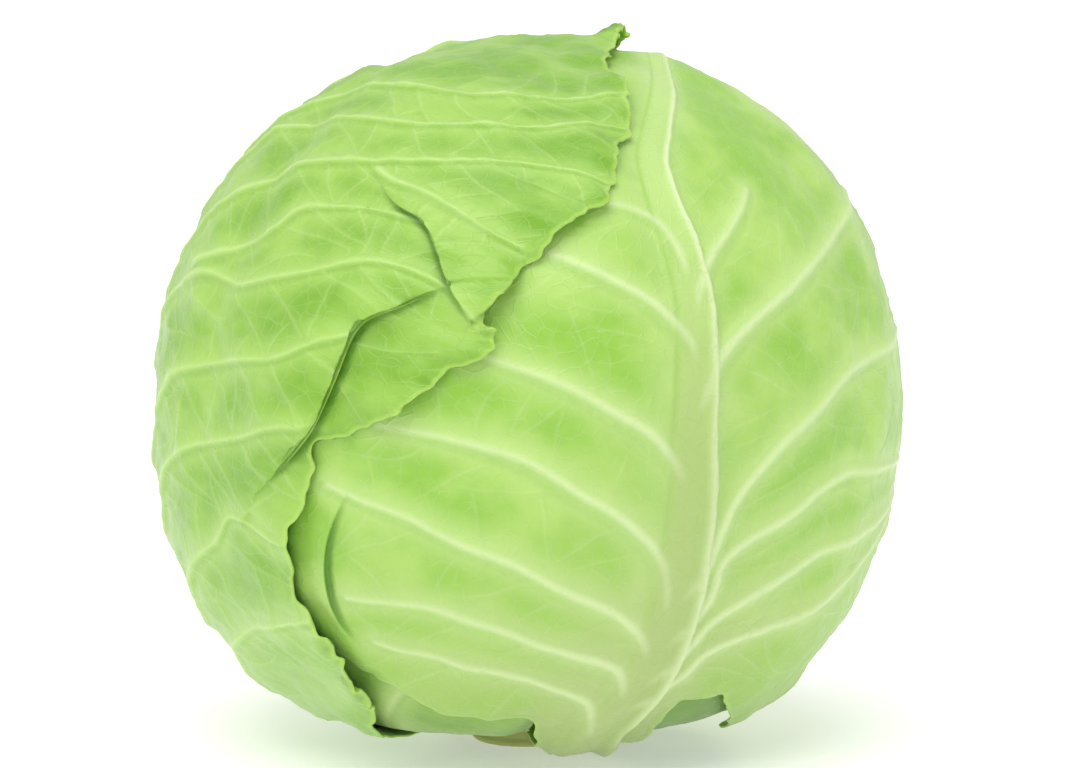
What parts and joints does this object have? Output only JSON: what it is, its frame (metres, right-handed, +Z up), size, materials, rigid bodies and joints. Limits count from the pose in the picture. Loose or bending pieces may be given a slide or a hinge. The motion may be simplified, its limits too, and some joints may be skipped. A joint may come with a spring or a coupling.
{
  "type": "cabbage head",
  "caption": "Round head of green cabbage with overlapping wrapper leaves, thick pale ribs and a flat cut stump to stand on.",
  "frame": {"origin": "centre of the stump's flat cut face, on which the head stands", "axes": "+Z up through the heart, -Z out of the cut face; -Y faces the viewer of the picture and +X is to the viewer's right"},
  "size_m": [0.1813, 0.1798, 0.1716],
  "materials": {
    "outer_leaf": "waxy satin",
    "front_leaf": "waxy satin",
    "inner_leaf": "waxy satin",
    "stump_flesh": "matte, freshly cut"
  },
  "bodies": {
    "root": {"leaf_left": "outer_leaf", "leaf_front": "front_leaf", "leaf_back": "outer_leaf", "inner_leaf_left": "inner_leaf", "inner_leaf_right": "inner_leaf", "inner_leaf_rear": "inner_leaf", "heart": "inner_leaf", "stump": "stump_flesh"}
  },
  "joints": []
}
